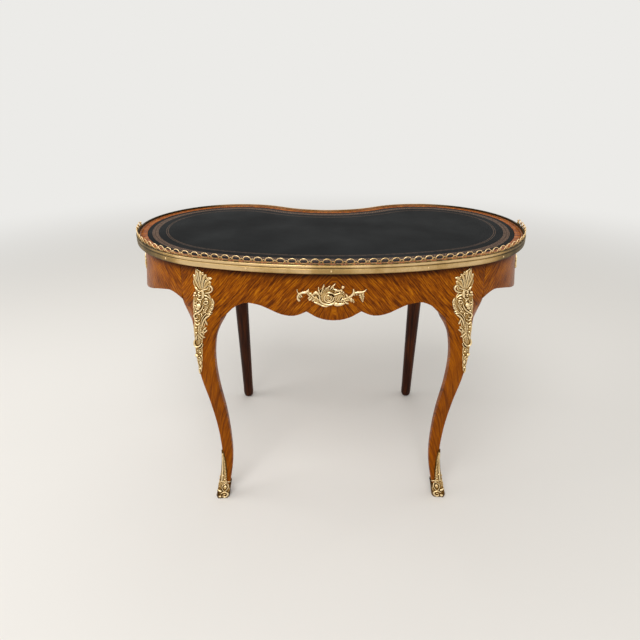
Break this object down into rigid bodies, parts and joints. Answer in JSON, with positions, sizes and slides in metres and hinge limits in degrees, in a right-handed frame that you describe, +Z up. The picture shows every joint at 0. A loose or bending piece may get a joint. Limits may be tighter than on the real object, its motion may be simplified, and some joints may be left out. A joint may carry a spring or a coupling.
{
  "type": "kidney shaped desk",
  "caption": "Kidney shaped writing desk with a leathered top, pierced brass gallery, shaped veneered frieze, cabriole front legs with gilt mounts and a drawer on the sitter's side.",
  "frame": {"origin": "on the floor, under the middle of the outline's bounding box", "axes": "+X along the desk's length to the right, +Y from the convex front to the hollow sitter's side, +Z up"},
  "size_m": [1.088, 0.62, 0.7672],
  "materials": {
    "kingwood_veneer": "polished orange-brown veneer laid in chevrons",
    "dark_lipping": "polished dark brown lipping with a rounded edge",
    "dark_wood": "satin, stained nearly black",
    "carcass_wood": "plain planed secondary wood",
    "tooled_leather": "black hide with gilt tooled bands",
    "polished_brass": "worn polish",
    "gilt_bronze": "cast and chased, soft gilt"
  },
  "bodies": {
    "desk": {"top_board": "carcass_wood", "top_lipping": "dark_lipping", "top_crossbanding": "kingwood_veneer", "leather_inset": "tooled_leather", "edge_moulding": "polished_brass", "edge_pin_1": "polished_brass", "edge_pin_2": "polished_brass", "edge_pin_3": "polished_brass", "edge_pin_4": "polished_brass", "edge_pin_5": "polished_brass", "edge_pin_6": "polished_brass", "edge_pin_7": "polished_brass", "gallery_section_1": "polished_brass", "gallery_section_2": "polished_brass", "gallery_section_3": "polished_brass", "gallery_section_4": "polished_brass", "gallery_section_5": "polished_brass", "front_apron": "kingwood_veneer", "side_apron_left": "kingwood_veneer", "side_apron_right": "kingwood_veneer", "rear_apron_left": "kingwood_veneer", "rear_apron_right": "kingwood_veneer", "lower_rail": "kingwood_veneer", "front_leg_left": "kingwood_veneer", "front_leg_right": "kingwood_veneer", "rear_leg_left": "dark_wood", "rear_leg_right": "dark_wood", "corner_mount_left": "gilt_bronze", "corner_mount_right": "gilt_bronze", "sabot_left": "gilt_bronze", "sabot_right": "gilt_bronze", "front_cartouche": "gilt_bronze", "end_cartouche_left": "gilt_bronze", "end_cartouche_right": "gilt_bronze", "drawer_runner_left": "carcass_wood", "drawer_runner_right": "carcass_wood", "drawer_kicker_left": "carcass_wood", "drawer_kicker_right": "carcass_wood", "drawer_stop_left": "carcass_wood", "drawer_stop_right": "carcass_wood", "glue_block_1": "carcass_wood", "glue_block_2": "carcass_wood", "glue_block_3": "carcass_wood", "glue_block_4": "carcass_wood"},
    "drawer": {"drawer_front": "kingwood_veneer", "drawer_side_left": "carcass_wood", "drawer_side_right": "carcass_wood", "drawer_back": "carcass_wood", "drawer_bottom": "carcass_wood", "drawer_knob": "polished_brass"}
  },
  "joints": [
    {"name": "drawer_slide", "type": "slide", "parent": "desk", "child": "drawer", "axis": [0, 1, 0], "range_m": [0, 0.26]}
  ]
}
